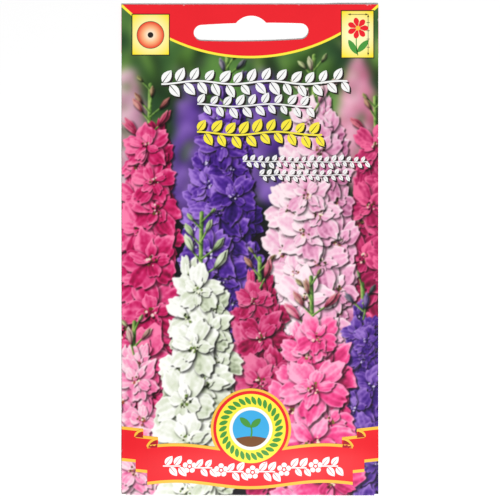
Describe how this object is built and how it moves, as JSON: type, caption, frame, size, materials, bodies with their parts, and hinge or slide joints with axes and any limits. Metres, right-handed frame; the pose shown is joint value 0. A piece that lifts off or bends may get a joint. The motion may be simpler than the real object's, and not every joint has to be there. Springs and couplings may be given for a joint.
{
  "type": "seed packet",
  "caption": "Flat folded paper seed packet with a hanging header and punched euro slot, glued seams and loose seeds inside.",
  "frame": {"origin": "middle of the packet's back at the height of its lowest face; the packet lies on its back", "axes": "+X to the right of the printed front, +Y up the packet towards the hanging slot, +Z out of the printed front"},
  "size_m": [0.08, 0.153, 0.003],
  "materials": {
    "printed_paper": "coated white paper, printed outside, satin",
    "glue": "dried glue, translucent cream",
    "seed_coat": "matte dark brown, ridged"
  },
  "bodies": {
    "root": {"packet_paper": "printed_paper", "seam_glue": "glue", "bottom_flap_glue": "glue", "header_glue": "glue", "seed_01": "seed_coat", "seed_02": "seed_coat", "seed_03": "seed_coat", "seed_04": "seed_coat", "seed_05": "seed_coat", "seed_06": "seed_coat", "seed_07": "seed_coat", "seed_08": "seed_coat", "seed_09": "seed_coat", "seed_10": "seed_coat", "seed_11": "seed_coat", "seed_12": "seed_coat", "seed_13": "seed_coat", "seed_14": "seed_coat", "seed_15": "seed_coat", "seed_16": "seed_coat", "seed_17": "seed_coat", "seed_18": "seed_coat", "seed_19": "seed_coat", "seed_20": "seed_coat", "seed_21": "seed_coat", "seed_22": "seed_coat", "seed_23": "seed_coat", "seed_24": "seed_coat", "seed_25": "seed_coat", "seed_26": "seed_coat", "seed_27": "seed_coat", "seed_28": "seed_coat", "seed_29": "seed_coat", "seed_30": "seed_coat", "seed_31": "seed_coat", "seed_32": "seed_coat", "seed_33": "seed_coat", "seed_34": "seed_coat", "seed_35": "seed_coat", "seed_36": "seed_coat"}
  },
  "joints": []
}
